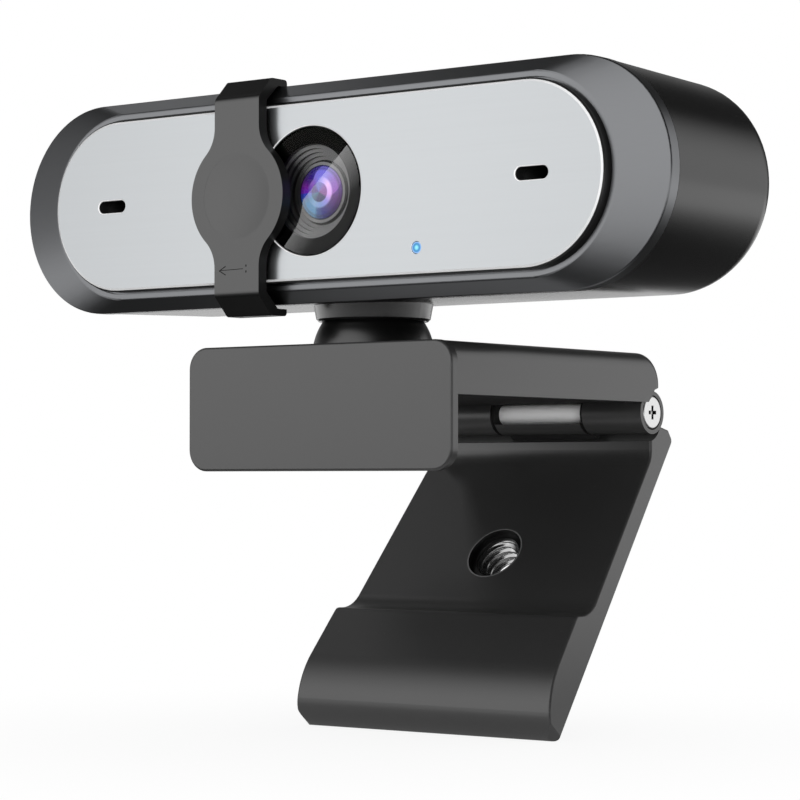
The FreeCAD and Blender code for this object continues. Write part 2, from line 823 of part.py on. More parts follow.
def leg_prism(outline):
    """Block through the leg's thickness; the outline is (x, along) corners with radii."""
    back, ahead = insert_seat - leg_thick - insert_boss, ridge_proud
    wire = rounded_outline(outline, lambda x, along: leg_point(x, along, back))
    return slab(wire, leg_point(0, 0, ahead) - leg_point(0, 0, back))


def on_leg_side(point):
    """True on the leg's two side faces, below the hinge's groove."""
    lean = math.radians(leg_lean)
    back, down = hinge_y - point.y, hinge_z - point.z
    along = back * math.sin(lean) + down * math.cos(lean)
    return abs(point.x) > leg_top_width / 2 - leg_corner / 2 and along > 1.0


def make_clip_leg():
    face, back = -leg_face, -leg_face - leg_thick
    foot = face + foot_proud
    side = [(-2.0, back + 1.9, 0.3), (-1.5, back, 0.9), (leg_length, back, leg_end_round),
            (leg_length, foot - sole_drop, sole_back_round),
            (leg_length - sole_run, foot, sole_front_round), (foot_start, foot, foot_edge_round),
            (foot_start - step_run, face, step_round), (ridge_end, face, ridge_round),
            (ridge_start, face + ridge_proud, 0), (0.0, face + ridge_proud, 0)]
    wide = leg_foot_width / 2 + 1
    leg = slab(rounded_outline(side, lambda a, n: leg_point(-wide, a, n)), V(2 * wide, 0, 0))
    flare = (leg_foot_width - leg_top_width) / 2 / leg_length
    a, b = leg_top_width / 2 + flare * leg_over, leg_foot_width / 2
    plan = [(-a, leg_over, 0), (a, leg_over, 0), (b, leg_length, 0), (-b, leg_length, 0)]
    leg = leg.common(leg_prism(plan))
    # groove that clears the fixed knuckles
    leg = leg.cut(axle(groove_r, -wide, wide)).removeSplitter()
    leg = leg.makeFillet(leg_edge_round, [e for e in leg.Edges if on_leg_side(middle_of(e))])
    corners = [(-wide, leg_over, 0), (wide, leg_over, 0), (b, leg_length, leg_corner),
               (-b, leg_length, leg_corner)]
    leg = leg.common(leg_prism(corners))
    # turning knuckle, open at the front so that the pin shows
    left = gap_left + washer_thick + fit
    right = gap_right - washer_thick - fit
    web = [(-web_half, -web_top, 0), (web_half, -web_top, 0), (web_half, face + 0.2, 0),
           (0.0, back + web_top, 0), (-web_half, back + 2 * web_top, 0)]
    web_wire = rounded_outline(web, lambda s, n: leg_point(left, s, n))
    knuckle = axle(knuckle_r, left, right).fuse(slab(web_wire, V(right - left, 0, 0)))
    leg = leg.fuse(knuckle).cut(axle(pin_r + turn, -wide, wide))
    jaw = hinge_z - pin_r
    ahead, above = hinge_y - 2 * knuckle_r, hinge_z + 2 * knuckle_r
    leg = leg.cut(box(-wide, wide, ahead, hinge_y + jaw_past, jaw, above))
    # tripod boss, recess and seat of the insert
    leg = leg.fuse(leg_post(insert_boss_r, insert_along, back - insert_boss, back + 0.5))
    leg = leg.cut(leg_post(insert_recess_r, insert_along, face - insert_recess, face + 1))
    leg = leg.cut(leg_post(thread_r + slide, insert_along, back - insert_boss - 1, face + 1))
    leg = leg.cut(leg_post(insert_r, insert_along, back - insert_boss - 1, insert_seat))
    return leg.removeSplitter()


def make_tripod_insert():
    back = -leg_face - leg_thick - insert_boss
    insert = leg_post(insert_r, insert_along, back, insert_seat)
    return insert.cut(leg_post(thread_r, insert_along, back - 1, insert_seat + 1))


# ----------------------------------------------------------------- privacy cover
def make_privacy_cover():
    """Strap over the face with hooks on the bezel's top and bottom edges."""
    front, back = -cover_gap - cover_thick, -cover_gap
    edge = head_height / 2
    inner, outer = edge + hook_gap, edge + hook_gap + hook_thick
    knee = edge - 1.5
    upper = [(back, 0, 0), (back, knee - 0.4, 0.5), (edge_back - 0.7, inner, 0.5),
             (hook_reach, inner, 0), (hook_reach, outer, 0.5),
             (edge_back - 2.1, outer, 0.6), (front, knee, 1.2), (front, 0, 0)]
    side = [(deep(y), lens_height + z, r) for y, z, r in upper]
    half = side_slab(side, 2.2 * cover_disc_r, cover_x)
    clip = half.fuse(half.mirror(V(0, 0, lens_height), Z_AXIS)).removeSplitter()
    # front view: a strap with a disc, blended by arcs
    s = cover_strap / 2
    tall = outer + 1
    strap = front_slab(rectangle(cover_x - s, cover_x + s, lens_height - tall,
                                 lens_height + tall, 0), deep(front - 1), deep(hook_reach + 1))
    disc = rod(cover_disc_r, front - 1, hook_reach + 1, cover_x)
    view = strap.fuse(disc).removeSplitter()
    reach = math.sqrt(cover_disc_r ** 2 - s ** 2)
    corners = [e for e in view.Edges if near(e.BoundBox.XLength, 0) and near(e.BoundBox.ZLength, 0)
               and near(abs(e.Vertexes[0].Z - lens_height), reach)]
    view = view.makeFillet(cover_fillet, corners)
    # the disc is cut short of the hooks, which are as wide as the strap
    cover = clip.common(view)
    cover = cover.cut(rod(cover_dimple_r, front - 1, front + cover_dimple, cover_x))
    return cover.translated(V(0, 0, -cover_drop))


# ------------------------------------------------------------------------ output
PARTS = {
    "rear_shell": make_rear_shell,
    "front_bezel": make_front_bezel,
    "face_plate": make_face_plate,
    "lens_window": make_lens_window,
    "lens_baffle": make_lens_baffle,
    "lens_barrel": make_lens_barrel,
    "front_lens": make_front_lens,
    "rear_lens": make_rear_lens,
    "focus_housing": make_focus_housing,
    "ir_filter": make_ir_filter,
    "image_sensor": make_image_sensor,
    "main_board": make_main_board,
    "board_screws": make_board_screws,
    "mic_left": lambda: make_mic(-mic_x),
    "mic_right": lambda: make_mic(mic_x),
    "mic_gasket_left": lambda: make_mic_gasket(-mic_x),
    "mic_gasket_right": lambda: make_mic_gasket(mic_x),
    "status_led": make_status_led,
    "light_pipe": make_light_pipe,
    "cable_socket": make_cable_socket,
    "cable_grommet": make_cable_grommet,
    "neck_collar": make_neck_collar,
    "collar_screws": make_collar_screws,
    "tilt_stud": make_tilt_stud,
    "tilt_dish": make_tilt_dish,
    "tilt_spring": make_tilt_spring,
    "tilt_nut": make_tilt_nut,
    "swivel_ball": make_swivel_ball,
    "swivel_disc": make_swivel_disc,
    "swivel_pin": make_swivel_pin,
    "clip_arm": make_clip_arm,
    "clip_front_plate": make_clip_front_plate,
    "top_pad": make_top_pad,
    "lip_pad": make_lip_pad,
    "hinge_pin": make_hinge_pin,
    "hinge_screw": make_hinge_screw,
    "hinge_washers": make_hinge_washers,
    "clip_leg": make_clip_leg,
    "tripod_insert": make_tripod_insert,
    "privacy_cover": make_privacy_cover,
}

os.makedirs("parts", exist_ok=True)
for node, make in PARTS.items():
    shape = make()
    shape.exportStep("parts/" + node + ".step")
    print(node, len(shape.Solids), "solids", round(shape.Volume, 1), "mm3", shape.isValid())
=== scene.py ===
# Webcam with a sliding privacy cover, on a folding monitor clip: finishes and fine pieces.
import json
import math
import bpy
import numpy as np
from mathutils import Matrix, Vector


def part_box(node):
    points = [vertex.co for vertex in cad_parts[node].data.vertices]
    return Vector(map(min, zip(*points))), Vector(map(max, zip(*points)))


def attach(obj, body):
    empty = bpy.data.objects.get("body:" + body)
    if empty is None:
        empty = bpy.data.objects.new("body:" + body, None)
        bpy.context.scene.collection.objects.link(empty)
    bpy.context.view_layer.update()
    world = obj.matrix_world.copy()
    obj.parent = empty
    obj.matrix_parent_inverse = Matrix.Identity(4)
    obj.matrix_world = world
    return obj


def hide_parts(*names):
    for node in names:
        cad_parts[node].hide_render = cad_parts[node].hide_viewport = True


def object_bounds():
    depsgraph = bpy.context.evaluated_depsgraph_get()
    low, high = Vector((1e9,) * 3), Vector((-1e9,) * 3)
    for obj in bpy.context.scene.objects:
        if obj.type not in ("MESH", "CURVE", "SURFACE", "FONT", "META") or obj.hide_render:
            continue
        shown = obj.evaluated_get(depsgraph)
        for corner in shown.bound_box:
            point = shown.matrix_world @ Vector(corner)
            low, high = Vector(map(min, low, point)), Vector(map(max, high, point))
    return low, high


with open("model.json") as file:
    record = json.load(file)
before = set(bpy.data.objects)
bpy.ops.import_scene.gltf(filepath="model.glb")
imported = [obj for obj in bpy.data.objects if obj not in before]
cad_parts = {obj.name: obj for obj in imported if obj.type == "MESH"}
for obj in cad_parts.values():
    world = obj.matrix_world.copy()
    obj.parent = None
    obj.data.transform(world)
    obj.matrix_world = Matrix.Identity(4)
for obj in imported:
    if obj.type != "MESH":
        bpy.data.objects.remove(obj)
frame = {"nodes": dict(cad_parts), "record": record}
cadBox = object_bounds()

nodes = frame["nodes"]
mounts = {mount["name"]: mount for mount in frame["record"]["mounts"]}
mm = 0.001
print("frame loaded:", len(nodes), "nodes")


def feed(tree, node, sockets):  # each socket gets a value, or a link from an output
    for key, source in sockets.items():
        if isinstance(source, (int, float, tuple)):
            node.inputs[key].default_value = source
        else:
            tree.links.new(source, node.inputs[key])


def put(tree, kind, sockets=None, **settings):  # one node
    node = tree.nodes.new(kind)
    for key, value in settings.items():
        setattr(node, key, value)
    feed(tree, node, sockets or {})
    return node


def calc(tree, operation, *terms):  # one Math node; a term is a number or an output
    return put(tree, "ShaderNodeMath", dict(enumerate(terms)), operation=operation).outputs[0]


def vectorCalc(tree, operation, *terms):  # one Vector Math node
    node = put(tree, "ShaderNodeVectorMath", dict(enumerate(terms)), operation=operation)
    return node.outputs["Value" if operation in ("DOT_PRODUCT", "LENGTH") else "Vector"]


def between(tree, value, near, far, start=0.0, end=1.0, kind="LINEAR"):
    # Map Range: goes from start, where the value is near, to end, where it is far
    return put(tree, "ShaderNodeMapRange",
               {"Value": value, "From Min": near, "From Max": far, "To Min": start, "To Max": end},
               interpolation_type=kind).outputs[0]


def mixValues(tree, factor, first, second):
    return put(tree, "ShaderNodeMix", {"Factor": factor, "A": first, "B": second}).outputs["Result"]


def mixColours(tree, factor, first, second, way="MIX"):
    return put(tree, "ShaderNodeMix", {"Factor": factor, "A": first, "B": second},
               data_type="RGBA", blend_type=way).outputs["Result"]


def ramp(tree, source, stops):  # colour ramp; stops are (place, colour)
    node = put(tree, "ShaderNodeValToRGB", {"Fac": source})
    marks = node.color_ramp.elements
    while len(marks) < len(stops):
        marks.new(0.5)
    for mark, (place, colour) in zip(marks, stops):
        mark.position = place
        mark.color = (*colour, 1)
    return node.outputs["Color"]


def objectPlace(tree):
    return put(tree, "ShaderNodeTexCoord").outputs["Object"]


def onAxis(tree, vector, axis):  # a vector's part along one axis
    return put(tree, "ShaderNodeSeparateXYZ", {0: vector}).outputs[axis]


def facing(tree):  # 1 on faces that look forward or back, 0 on those that look aside, up or down
    normal = put(tree, "ShaderNodeTexCoord").outputs["Normal"]
    return calc(tree, "ABSOLUTE", onAxis(tree, normal, "Y"))


# Shared effects are node groups with named sockets; each material places them with its own values.


def newGroup(name, inputs, outputs):
    group = bpy.data.node_groups.new(name, "ShaderNodeTree")
    for label, value in inputs.items():
        kind = "NodeSocketVector" if isinstance(value, tuple) else "NodeSocketFloat"
        group.interface.new_socket(label, in_out="INPUT", socket_type=kind).default_value = value
    for label in outputs:
        group.interface.new_socket(label, in_out="OUTPUT", socket_type="NodeSocketFloat")
    return group, group.nodes.new("NodeGroupInput").outputs, group.nodes.new("NodeGroupOutput")


def drifting(tree, given, tone):  # roughness + (tone - 0.5) * spread
    drift = calc(tree, "MULTIPLY", calc(tree, "SUBTRACT", tone, 0.5), given["Spread"])
    return calc(tree, "ADD", given["Roughness"], drift)


def noise(tree, place, scale, detail):
    return put(tree, "ShaderNodeTexNoise",
               {"Vector": place, "Scale": scale, "Detail": detail}).outputs["Fac"]


def makeMouldGrain():  # fine noise is the height, a broad noise drifts the sheen and the tone
    group, given, result = newGroup(
        "mouldGrain", {"Fine Scale": 5000.0, "Broad Scale": 70.0, "Roughness": 0.4, "Spread": 0.05},
        ["Height", "Roughness", "Tone"])
    place = objectPlace(group)
    fine = noise(group, place, given["Fine Scale"], 3.0)
    broad = noise(group, place, given["Broad Scale"], 4.0)
    feed(group, result, {"Height": fine, "Roughness": drifting(group, given, broad),
                         "Tone": broad})
    return group


def makeBrushedLines():  # noise drawn out along X, so its lines run the length of the plate
    group, given, result = newGroup(
        "brushedLines", {"Stretch": (25.0, 2600.0, 2600.0), "Roughness": 0.4, "Spread": 0.1},
        ["Height", "Roughness", "Tone"])
    drawn = vectorCalc(group, "MULTIPLY", objectPlace(group), given["Stretch"])
    lines = noise(group, drawn, 1.0, 5.0)
    feed(group, result, {"Height": lines, "Roughness": drifting(group, given, lines),
                         "Tone": lines})
    return group


dustLook = {
    "rim": 0.16,             # a speck's radius in its cell
    "chance": (0.72, 0.8),   # only cells whose random value is above this have one
    "upward": (0.1, 0.9),    # the normal's Z at which dust starts to lie, and lies in full
    "colour": (0.3, 0.29, 0.28, 1),
}


def makeFineDust():  # sparse small cells, soft at their rims, that lie on upward faces only
    group, given, result = newGroup("fineDust", {"Scale": 900.0, "Amount": 0.3}, ["Mask"])
    cells = put(group, "ShaderNodeTexVoronoi",
                {"Vector": objectPlace(group), "Scale": given["Scale"]}).outputs
    speck = between(group, cells["Distance"], 0.0, dustLook["rim"], 1.0, 0.0)
    chance = between(group, cells["Color"], *dustLook["chance"])
    upward = onAxis(group, put(group, "ShaderNodeNewGeometry").outputs["Normal"], "Z")
    lying = between(group, upward, *dustLook["upward"])
    mask = calc(group, "MULTIPLY", speck, calc(group, "MULTIPLY", chance, lying))
    feed(group, result, {"Mask": calc(group, "MULTIPLY", mask, given["Amount"])})
    return group


def makeRadialPlace():  # distance from an axis along Y; turn about it, 0 at the left, 0.25 below
    group, given, result = newGroup("radialPlace", {"Centre": (0.0, 0.0, 0.0)},
                                    ["Radius", "Turn"])
    offset = vectorCalc(group, "SUBTRACT", objectPlace(group), given["Centre"])
    apart = put(group, "ShaderNodeSeparateXYZ", {0: offset}).outputs
    square = calc(group, "ADD", calc(group, "MULTIPLY", apart["X"], apart["X"]),
                  calc(group, "MULTIPLY", apart["Z"], apart["Z"]))
    turn = calc(group, "ARCTAN2", apart["Z"], apart["X"])
    feed(group, result, {"Radius": calc(group, "SQRT", square),
                         "Turn": calc(group, "MULTIPLY_ADD", turn, 0.5 / math.pi, 0.5)})
    return group


mouldGrain = makeMouldGrain()
brushedLines = makeBrushedLines()
fineDust = makeFineDust()
radialPlace = makeRadialPlace()
print("node groups made:", len(bpy.data.node_groups))

# The plastics: colour, roughness, specular level, lacquer over it, height of the grain in mm, scale
# of its noise, share of dust. bareSides: facing at which the lacquer starts, and is full.
plastics = {
    "shellBlack": dict(colour=(0.0025, 0.0025, 0.0025), roughness=0.22, specular=0.9, lacquer=0.1,
                       grain=0.002, fineScale=4200, dust=0.25),
    "clipGrey": dict(colour=(0.019, 0.019, 0.019), roughness=0.37, specular=1.0, lacquer=0.8,
                     grain=0.003, fineScale=3600, dust=0.2),
    "coverGrey": dict(colour=(0.006, 0.006, 0.006), roughness=0.36, specular=0.2, lacquer=0.95,
                      grain=0.002, fineScale=4200, dust=0.1, lacquerIor=2.02,
                      bareSides=(0.86, 0.98)),
    "collarGrey": dict(colour=(0.004, 0.004, 0.004), roughness=0.25, specular=1.0, lacquer=1.0,
                       grain=0.002, fineScale=4200, dust=0.1),
    "ballBlack": dict(colour=(0.002, 0.002, 0.002), roughness=0.3, specular=1.0, lacquer=0.5,
                      grain=0.001, fineScale=5200, dust=0.1),
    "markBlack": dict(colour=(0.01, 0.01, 0.01), roughness=0.6, specular=0.2, lacquer=0.0,
                      grain=0.001, fineScale=5200, dust=0.0),
    "plainBlack": dict(colour=(0.012, 0.012, 0.012), roughness=0.6, specular=0.2, lacquer=0.0,
                       grain=0.004, fineScale=4200, dust=0.0),
    "padRubber": dict(colour=(0.02, 0.02, 0.02), roughness=0.75, specular=0.2, lacquer=0.0,
                      grain=0.02, fineScale=2400, dust=0.3),
    "boardGreen": dict(colour=(0.01, 0.09, 0.03), roughness=0.35, specular=0.4, lacquer=0.0,
                       grain=0.002, fineScale=3000, dust=0.0),
    "socketWhite": dict(colour=(0.6, 0.59, 0.55), roughness=0.4, specular=0.3, lacquer=0.0,
                        grain=0.002, fineScale=4200, dust=0.0),
}
# Round the tripod thread: near black, a painted shade in the recess; a pale ring at its edge, a
# painted highlight.
threadWellShade = {
    "edge": (4.25, 4.27),     # radii, mm: here the recess round the thread ends, its edge begins
    "beyond": (4.41, 4.45),   # and here the edge ends
    "dark": (0.0005, 0.0005, 0.0005, 1),
    "pale": (0.12, 0.12, 0.12, 1),
}
plastics["legGrey"] = dict(plastics["clipGrey"], well=threadWellShade)
plainLacquerIor = 1.5

# The plate's cut edges: a painted highlight at the front, a painted shadow in the gap behind.
plateEdgeHighlightShadow = {
    "facing": (0.9, 0.98),    # a cut edge faces the front less than this
    "step": 0.1,              # it is painted pale, a painted highlight, over this depth, mm, and dark behind it, a painted shadow
    "pale": (0.85, 0.85, 0.85),
    "dark": (0.01, 0.01, 0.01),
}
# The screw's cross is painted dark, as shade in its recess.
screwCrossShade = {
    "step": -0.1,             # the cross begins this far in from the head's face, mm
    "dark": (0.005, 0.005, 0.005, 1),
}
# The metals: colour, roughness and how far it drifts, height of the lines in mm.
metals = {
    "plateSilver": dict(colour=(0.57, 0.59, 0.605), roughness=0.28, spread=0.004, lines=0.00002,
                        cut=plateEdgeHighlightShadow),
    "bezelGrey": dict(colour=(0.245, 0.25, 0.26), roughness=0.3, spread=0.02, lines=0.0001),
    # The pin's steel is painted white and matt, paler than bare steel: a painted highlight, so that
    # it shows bright in the shade under the arm.
    "pinSteel": dict(colour=(0.97, 0.97, 0.97), roughness=0.36, spread=0.06, lines=0.001,
                     metallic=0.0),
    "screwSteel": dict(colour=(0.96, 0.96, 0.96), roughness=0.3, spread=0.05, lines=0.001),
    "crossSteel": dict(colour=(0.98, 0.98, 0.98), roughness=0.3, spread=0.05, lines=0.001,
                       cross=screwCrossShade),
    "insertSteel": dict(colour=(0.45, 0.45, 0.44), roughness=0.3, spread=0.12, lines=0.002),
    "threadSteel": dict(colour=(0.52, 0.52, 0.52), roughness=0.16, spread=0.06, lines=0.001),
}
plasticDrift, metalDrift = 0.06, 0.007  # share by which a noise darkens and lightens the colour
noiseRange = (0.3, 0.7)                 # where the noises mostly lie


def newFinish(name, sockets):
    material = bpy.data.materials.new(name)
    material.use_nodes = True
    tree = material.node_tree
    shader = tree.nodes["Principled BSDF"]
    feed(tree, shader, sockets)
    return material, tree, shader


def mottled(tree, tone, colour, drift):
    return ramp(tree, tone, [
        (place, tuple(min(1.0, channel * factor) for channel in colour))
        for place, factor in zip(noiseRange, (1 - drift, 1 + drift))])


def fromAxis(tree, mount):  # how far a point lies from a mount's axis, mm: |offset x axis|
    offset = vectorCalc(tree, "SUBTRACT", objectPlace(tree), tuple(mount["pos_m"]))
    aside = vectorCalc(tree, "CROSS_PRODUCT", offset, tuple(mount["axis"]))
    return calc(tree, "DIVIDE", vectorCalc(tree, "LENGTH", aside), mm)


def plasticFinish(name, look):
    material, tree, shader = newFinish(name, {
        "Specular IOR Level": look["specular"], "Coat Weight": look["lacquer"],
        "Coat Roughness": look["roughness"], "Coat IOR": look.get("lacquerIor", plainLacquerIor)})
    grain = put(tree, "ShaderNodeGroup", {"Fine Scale": look["fineScale"],
                                          "Roughness": look["roughness"]}, node_tree=mouldGrain)
    dust = put(tree, "ShaderNodeGroup", {"Amount": look["dust"]}, node_tree=fineDust)
    tone = mottled(tree, grain.outputs["Tone"], look["colour"], plasticDrift)
    tone = mixColours(tree, dust.outputs["Mask"], tone, dustLook["colour"])
    if "bareSides" in look:  # lacquer in full on the front and back, thinning to none on the sides
        lacquer = between(tree, facing(tree), *look["bareSides"], 0.0, look["lacquer"])
        feed(tree, shader, {"Coat Weight": lacquer})
    if "well" in look:  # the recess round the thread is bare of lacquer and painted near black, a painted shade; its edge is painted pale, a painted highlight
        well, away = look["well"], fromAxis(tree, mounts["tripod_thread"])
        outside = between(tree, away, *well["edge"])
        tone = mixColours(tree, between(tree, away, *well["beyond"]), well["pale"], tone)
        tone = mixColours(tree, outside, well["dark"], tone)
        feed(tree, shader, {"Coat Weight": calc(tree, "MULTIPLY", outside, look["lacquer"])})
    bump = put(tree, "ShaderNodeBump", {"Height": grain.outputs["Height"],
                                        "Distance": look["grain"] * mm})
    feed(tree, shader, {"Base Color": tone, "Roughness": grain.outputs["Roughness"],
                        "Normal": bump.outputs["Normal"]})
    return material


def deeper(tree, axis, face, step):  # 0 up to a step (mm, signed) past a face, 1 half a step on
    along = onAxis(tree, objectPlace(tree), axis)
    return between(tree, along, face + step * mm, face + 1.5 * step * mm)


def metalFinish(name, look):
    material, tree, shader = newFinish(name, {"Metallic": look.get("metallic", 1.0)})
    lines = put(tree, "ShaderNodeGroup", {"Roughness": look["roughness"],
                                          "Spread": look["spread"]}, node_tree=brushedLines)
    tone = mottled(tree, lines.outputs["Tone"], look["colour"], metalDrift)
    if "cut" in look:  # cut edges are painted and not metal: pale at the front, a painted highlight; dark behind, a painted shadow
        cut = look["cut"]
        aside = between(tree, facing(tree), *cut["facing"], 1.0, 0.0)
        deep = deeper(tree, "Y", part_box("face_plate")[0][1], cut["step"])
        edge = ramp(tree, deep, [(0.0, cut["pale"]), (1.0, cut["dark"])])
        tone = mixColours(tree, aside, tone, edge)
        feed(tree, shader, {"Metallic": calc(tree, "SUBTRACT", 1.0, aside)})
    if "cross" in look:  # the cross in the screw's head is painted dark, a painted shade in its recess
        cross = look["cross"]
        deep = deeper(tree, "X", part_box("hinge_screw")[1][0], cross["step"])
        tone = mixColours(tree, deep, tone, cross["dark"])
    bump = put(tree, "ShaderNodeBump", {"Height": lines.outputs["Height"],
                                        "Distance": look["lines"] * mm})
    feed(tree, shader, {"Base Color": tone, "Roughness": lines.outputs["Roughness"],
                        "Normal": bump.outputs["Normal"]})
    return material


finishes = {name: plasticFinish(name, look) for name, look in plastics.items()}
finishes.update({name: metalFinish(name, look) for name, look in metals.items()})

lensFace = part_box("front_lens")
lensCentre = tuple((low + high) / 2 for low, high in zip(*lensFace))
lensRadius = (lensFace[1][2] - lensFace[0][2]) / 2

# Coated lens, its reflections painted on as colour that also glows: outer field, bright ring and
# inner field have hues round the axis, starting at its left and going down. The petal is an
# off-centre disc in which other painted reflection colours show.
lensReflections = {
    "outer": [(0, (0.06, 0.07, 0.7)), (0.035, (0.04, 0.1, 0.65)), (0.06, (0.03, 0.25, 0.55)),
              (0.1, (0.01, 0.31, 0.68)), (0.19, (0.11, 0.39, 0.7)), (0.215, (0.01, 0.09, 0.34)),
              (0.27, (0.01, 0.01, 0.25)), (0.34, (0.04, 0.01, 0.16)), (0.45, (0.09, 0.01, 0.16)),
              (0.6, (0.12, 0.03, 0.38)), (0.76, (0.08, 0.05, 0.45)), (0.84, (0.03, 0.01, 0.3)),
              (0.9, (0.07, 0.006, 0.25)), (0.95, (0.24, 0.015, 0.45)), (0.985, (0.2, 0.02, 0.6))],
    "petal": [(0.4, (0.22, 0.06, 0.39)), (0.5, (0.29, 0.09, 0.47)), (0.6, (0.25, 0.11, 0.51)),
              (0.69, (0.23, 0.19, 0.8)), (0.76, (0.22, 0.2, 0.85)), (0.85, (0.3, 0.22, 0.9))],
    "ring": [(0, (0.14, 0.17, 0.95)), (0.08, (0.09, 0.37, 0.71)), (0.17, (0.28, 0.54, 0.91)),
             (0.27, (0.22, 0.34, 0.76)), (0.37, (0.32, 0.26, 0.76)), (0.47, (0.77, 0.42, 0.91)),
             (0.6, (0.82, 0.52, 0.96)), (0.67, (0.58, 0.43, 1)), (0.76, (0.24, 0.25, 0.9)),
             (0.88, (0.4, 0.16, 0.75)), (0.97, (0.2, 0.07, 0.7))],
    "inner": [(0, (0.08, 0.09, 0.4)), (0.06, (0.04, 0.2, 0.35)), (0.2, (0.01, 0.01, 0.14)),
              (0.3, (0.01, 0.01, 0.1)), (0.4, (0.01, 0.01, 0.12)), (0.44, (0.24, 0.07, 0.3)),
              (0.6, (0.25, 0.08, 0.39)), (0.7, (0.17, 0.15, 0.55)), (0.8, (0.16, 0.18, 0.7)),
              (0.88, (0.1, 0.04, 0.36)), (1, (0.07, 0.02, 0.3))],
    "petalPlace": (0.3, 0.415),   # in lens radii, right and up, as are the radii below
    "petalEdge": (0.58, 0.62),
    "ringInside": (0.34, 0.38),
    "ringOutside": (0.52, 0.6),
    "rim": [(0.78, (1, 1, 1)), (0.87, (0.5, 0.5, 0.5)), (0.92, (0.75, 0.75, 0.75)),
            (0.96, (0.25, 0.25, 0.25)), (1.0, (0.05, 0.05, 0.05))],
    # the lens glows with its painted reflection colours, though it is no lamp
    "glow": 0.6,
    "roughness": 0.45,
}


def radialFrom(tree, centre):
    radial = put(tree, "ShaderNodeGroup", {"Centre": tuple(centre)}, node_tree=radialPlace)
    return radial.outputs["Radius"], radial.outputs["Turn"]


def lensReflectionFinish():
    material, tree, shader = newFinish("lensPaintedReflections", {
        "Emission Strength": lensReflections["glow"], "Metallic": 1.0, "Roughness": lensReflections["roughness"]})
    right, up = lensReflections["petalPlace"]
    petalRadius, _ = radialFrom(tree, (lensCentre[0] + right * lensRadius, lensCentre[1],
                                       lensCentre[2] + up * lensRadius))
    radius, turn = radialFrom(tree, lensCentre)
    colour = ramp(tree, turn, lensReflections["outer"])
    for distance, edge, field in ((petalRadius, "petalEdge", "petal"),
                                  (radius, "ringOutside", "ring"), (radius, "ringInside", "inner")):
        near, far = (share * lensRadius for share in lensReflections[edge])
        mask = between(tree, distance, near, far, 1.0, 0.0)
        colour = mixColours(tree, mask, colour, ramp(tree, turn, lensReflections[field]))
    # near its edge the painted colours darken, in bands
    rim = ramp(tree, calc(tree, "DIVIDE", radius, lensRadius), lensReflections["rim"])
    colour = mixColours(tree, 1.0, colour, rim, "MULTIPLY")
    # the painted reflection colours are the base colour, and glow as well
    feed(tree, shader, {"Base Color": colour, "Emission Color": colour})
    return material


# Window: clear glass. On its front, below a slanting line, a coat that reflects more paints on a
# glare: a painted reflection.
glare = {
    "glassIor": 1.15,
    "coatIor": 2.1,
    "coatRoughness": 0.02,
    "shift": 0.1,               # the line passes this far right of the lens's centre, mm
    "across": (0.672, -0.74),   # the way across the line, right and up
    "line": 0.03,               # the line's softness, mm
    "fade": 5.5,                # the painted glare thins over this, mm,
    "least": 0.08,              # to this
    "front": 0.2,               # depth counted as the front, mm
}


def windowFinish():
    material, tree, shader = newFinish("windowGlass", {
        "Transmission Weight": 1.0, "Roughness": 0.0, "IOR": glare["glassIor"],
        "Coat IOR": glare["coatIor"], "Coat Roughness": glare["coatRoughness"]})
    place = objectPlace(tree)
    middle = (lensCentre[0] + glare["shift"] * mm, 0.0, lensCentre[2])
    offset = vectorCalc(tree, "SUBTRACT", place, middle)
    right, up = glare["across"]
    across = vectorCalc(tree, "DOT_PRODUCT", offset, (right, 0.0, up))
    past = between(tree, across, 0.0, glare["line"] * mm)
    fading = between(tree, across, 0.0, glare["fade"] * mm, 1.0, glare["least"])
    front = calc(tree, "LESS_THAN", onAxis(tree, place, "Y"),
                 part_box("lens_window")[0][1] + glare["front"] * mm)
    # the painted glare: coat below the slanting line, thinning away from it, on the front only
    paintedGlare = calc(tree, "MULTIPLY", calc(tree, "MULTIPLY", past, fading), front)
    feed(tree, shader, {"Coat Weight": paintedGlare})
    return material


indicator = {
    "radius": 0.8,   # mm
    "glow": [(0.0, (0.42, 1.0, 1.0)), (0.25, (0.3, 0.85, 1.0)), (0.5, (0.08, 0.3, 0.55)),
             (0.66, (0.06, 0.28, 0.6)), (0.85, (0.3, 0.5, 0.85)), (0.97, (0.5, 0.68, 0.9))],
    "strength": 0.95,
    "unlit": (0.02, 0.05, 0.1, 1),
    "specular": 0.1,
}


def ledFinish():
    material, tree, shader = newFinish("ledBlue", {
        "Base Color": indicator["unlit"], "Specular IOR Level": indicator["specular"],
        "Emission Strength": indicator["strength"]})
    low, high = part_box("light_pipe")
    radius, _ = radialFrom(tree, ((a + b) / 2 for a, b in zip(low, high)))
    share = calc(tree, "DIVIDE", radius, indicator["radius"] * mm)
    feed(tree, shader, {"Emission Color": ramp(tree, share, indicator["glow"])})
    return material


# Lens baffle and barrel: pale treads, and risers painted dark as shade; black outside the border;
# a painted shadow darkens the left.
baffle = {
    "border": (6.25, 6.35),   # radii, mm
    "tread": (0.6, 0.9),      # facing of a riser, in full painted shade, and of a tread
    "left": (0.3, 0.39),      # turns from the right at which the painted shadow begins and is full
    "leftShadowShare": 0.12,        # of the pale that the painted shadow leaves there
    "dark": (0.01, 0.01, 0.01),
    "pale": (0.4, 0.4, 0.4),
    "roughness": 0.5,
    "specular": 0.3,
}


